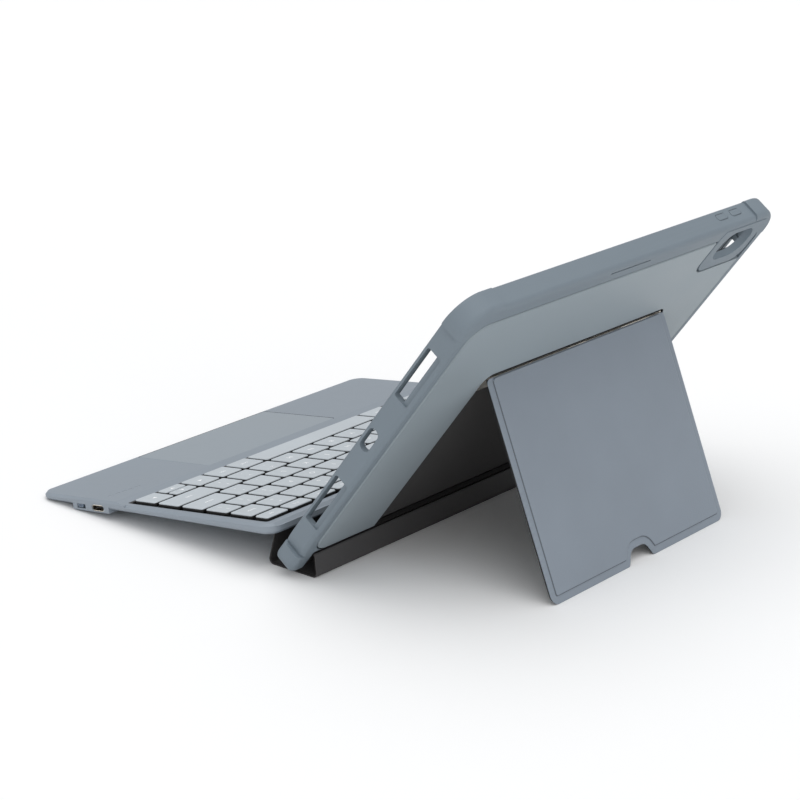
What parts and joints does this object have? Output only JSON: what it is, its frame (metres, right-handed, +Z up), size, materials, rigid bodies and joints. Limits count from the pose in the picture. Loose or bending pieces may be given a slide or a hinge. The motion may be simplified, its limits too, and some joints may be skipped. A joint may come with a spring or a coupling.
{
  "type": "tablet keyboard case",
  "caption": "Protective tray for a tablet with a hinged kickstand, joined by a folding spine to a thin keyboard with a touchpad.",
  "frame": {"origin": "centre of the footprint of the case standing open, at table height", "axes": "+X the user's right, +Y away from the user towards the kickstand, +Z up"},
  "size_m": [0.258, 0.295, 0.1607],
  "materials": {
    "soft_shell": "soft-touch moulded rubber-like plastic",
    "panel": "satin hard plastic",
    "deck": "satin hard plastic, fine texture",
    "stand_skin": "smooth imitation leather",
    "lining": "black microfibre",
    "keycap": "satin light grey",
    "dark_plastic": "black",
    "touch_surface": "fine satin glaze",
    "steel": "plain",
    "magnet": "nickel plated",
    "board": "solder-masked laminate",
    "cell": "foil pouch",
    "rubber": "soft pad",
    "lens": "frosted light guide"
  },
  "bodies": {
    "spine": {"spine_outer_skin": "stand_skin", "spine_inner_lining": "lining", "spine_stiffener": "dark_plastic"},
    "keyboard": {"keyboard_top_cover": "deck", "keyboard_bottom_cover": "deck", "key_support_plate": "dark_plastic", "key_membrane": "dark_plastic", "key_domes": "rubber", "key_scissors": "dark_plastic", "keyboard_magnets": "magnet", "touchpad_board": "board", "battery": "cell", "main_board": "board", "usb_socket_shell": "steel", "usb_socket_tongue": "dark_plastic", "power_switch_body": "dark_plastic", "indicator_lights": "lens", "rubber_feet": "rubber"},
    "touchpad": {"touchpad_plate": "touch_surface"},
    "power_switch": {"power_switch_knob": "deck"},
    "tray": {"bumper_frame": "soft_shell", "back_panel": "panel", "recess_lining": "lining", "tray_lining": "lining", "case_magnets": "magnet", "hinge_fixed_leaf": "steel", "hinge_rivets": "steel", "hinge_pin": "steel"},
    "volume_up": {"volume_up_button": "soft_shell"},
    "volume_down": {"volume_down_button": "soft_shell"},
    "power": {"power_button": "soft_shell"},
    "kickstand": {"kickstand_core": "dark_plastic", "kickstand_skin": "stand_skin", "kickstand_lining": "lining", "kickstand_magnets": "magnet", "kickstand_rivets": "steel", "hinge_moving_leaf": "steel"},
    "keys_function_keys": {"function_keys": "keycap"},
    "keys_number_keys": {"number_keys": "keycap"},
    "keys_upper_letter_keys": {"upper_letter_keys": "keycap"},
    "keys_home_letter_keys": {"home_letter_keys": "keycap"},
    "keys_lower_letter_keys": {"lower_letter_keys": "keycap"},
    "keys_modifier_keys": {"modifier_keys": "keycap"},
    "escape_key_body": {"escape_key": "keycap"},
    "backspace_key_body": {"backspace_key": "keycap"},
    "tab_key_body": {"tab_key": "keycap"},
    "caps_lock_key_body": {"caps_lock_key": "keycap"},
    "enter_key_body": {"enter_key": "keycap"},
    "left_shift_key_body": {"left_shift_key": "keycap"},
    "right_shift_key_body": {"right_shift_key": "keycap"},
    "space_bar_body": {"space_bar": "keycap"},
    "left_arrow_key_body": {"left_arrow_key": "keycap"},
    "up_arrow_key_body": {"up_arrow_key": "keycap"},
    "down_arrow_key_body": {"down_arrow_key": "keycap"},
    "right_arrow_key_body": {"right_arrow_key": "keycap"}
  },
  "joints": [
    {"name": "keyboard_fold", "type": "hinge", "parent": "spine", "child": "keyboard", "pos_m": [0, 0.01228, 0.01897], "axis": [1, 0, 0], "range_deg": [-98.1, 15]},
    {"name": "tray_tilt", "type": "hinge", "parent": "spine", "child": "tray", "pos_m": [0, 0.03706, 0.01198], "axis": [1, 0, 0], "range_deg": [-7, 36.95]},
    {"name": "kickstand_swing", "type": "hinge", "parent": "tray", "child": "kickstand", "pos_m": [-0.002, 0.10425, 0.10472], "axis": [1, 0, 0], "range_deg": [-58.7, 42]},
    {"name": "touchpad_click", "type": "hinge", "parent": "keyboard", "child": "touchpad", "pos_m": [0.0065, -0.09153, 0.01098], "axis": [1, 0, 0], "range_deg": [0, 0.45], "stiffness_Nm_per_rad": 4},
    {"name": "power_switch_slide", "type": "slide", "parent": "keyboard", "child": "power_switch", "axis": [0, 0.99, 0.1409], "range_m": [0, 0.0022]},
    {"name": "volume_up_press", "type": "slide", "parent": "tray", "child": "volume_up", "axis": [0, -0.6011, -0.7992], "range_m": [0, 0.0004], "stiffness_N_per_m": 1500},
    {"name": "volume_down_press", "type": "slide", "parent": "tray", "child": "volume_down", "axis": [0, -0.6011, -0.7992], "range_m": [0, 0.0004], "stiffness_N_per_m": 1500},
    {"name": "power_press", "type": "slide", "parent": "tray", "child": "power", "axis": [1, 0, 0], "range_m": [0, 0.0004], "stiffness_N_per_m": 1500},
    {"name": "function_row_press", "type": "slide", "parent": "keyboard", "child": "keys_function_keys", "axis": [0, 0.1409, -0.99], "range_m": [0, 0.0012], "stiffness_N_per_m": 400},
    {"name": "number_row_press", "type": "slide", "parent": "keyboard", "child": "keys_number_keys", "axis": [0, 0.1409, -0.99], "range_m": [0, 0.0012], "stiffness_N_per_m": 400},
    {"name": "upper_letter_row_press", "type": "slide", "parent": "keyboard", "child": "keys_upper_letter_keys", "axis": [0, 0.1409, -0.99], "range_m": [0, 0.0012], "stiffness_N_per_m": 400},
    {"name": "home_letter_row_press", "type": "slide", "parent": "keyboard", "child": "keys_home_letter_keys", "axis": [0, 0.1409, -0.99], "range_m": [0, 0.0012], "stiffness_N_per_m": 400},
    {"name": "lower_letter_row_press", "type": "slide", "parent": "keyboard", "child": "keys_lower_letter_keys", "axis": [0, 0.1409, -0.99], "range_m": [0, 0.0012], "stiffness_N_per_m": 400},
    {"name": "modifier_row_press", "type": "slide", "parent": "keyboard", "child": "keys_modifier_keys", "axis": [0, 0.1409, -0.99], "range_m": [0, 0.0012], "stiffness_N_per_m": 400},
    {"name": "escape_press", "type": "slide", "parent": "keyboard", "child": "escape_key_body", "axis": [0, 0.1409, -0.99], "range_m": [0, 0.0012], "stiffness_N_per_m": 400},
    {"name": "backspace_press", "type": "slide", "parent": "keyboard", "child": "backspace_key_body", "axis": [0, 0.1409, -0.99], "range_m": [0, 0.0012], "stiffness_N_per_m": 400},
    {"name": "tab_press", "type": "slide", "parent": "keyboard", "child": "tab_key_body", "axis": [0, 0.1409, -0.99], "range_m": [0, 0.0012], "stiffness_N_per_m": 400},
    {"name": "caps_lock_press", "type": "slide", "parent": "keyboard", "child": "caps_lock_key_body", "axis": [0, 0.1409, -0.99], "range_m": [0, 0.0012], "stiffness_N_per_m": 400},
    {"name": "enter_press", "type": "slide", "parent": "keyboard", "child": "enter_key_body", "axis": [0, 0.1409, -0.99], "range_m": [0, 0.0012], "stiffness_N_per_m": 400},
    {"name": "left_shift_press", "type": "slide", "parent": "keyboard", "child": "left_shift_key_body", "axis": [0, 0.1409, -0.99], "range_m": [0, 0.0012], "stiffness_N_per_m": 400},
    {"name": "right_shift_press", "type": "slide", "parent": "keyboard", "child": "right_shift_key_body", "axis": [0, 0.1409, -0.99], "range_m": [0, 0.0012], "stiffness_N_per_m": 400},
    {"name": "space_bar_press", "type": "slide", "parent": "keyboard", "child": "space_bar_body", "axis": [0, 0.1409, -0.99], "range_m": [0, 0.0012], "stiffness_N_per_m": 400},
    {"name": "left_arrow_press", "type": "slide", "parent": "keyboard", "child": "left_arrow_key_body", "axis": [0, 0.1409, -0.99], "range_m": [0, 0.0012], "stiffness_N_per_m": 400},
    {"name": "up_arrow_press", "type": "slide", "parent": "keyboard", "child": "up_arrow_key_body", "axis": [0, 0.1409, -0.99], "range_m": [0, 0.0012], "stiffness_N_per_m": 400},
    {"name": "down_arrow_press", "type": "slide", "parent": "keyboard", "child": "down_arrow_key_body", "axis": [0, 0.1409, -0.99], "range_m": [0, 0.0012], "stiffness_N_per_m": 400},
    {"name": "right_arrow_press", "type": "slide", "parent": "keyboard", "child": "right_arrow_key_body", "axis": [0, 0.1409, -0.99], "range_m": [0, 0.0012], "stiffness_N_per_m": 400}
  ]
}
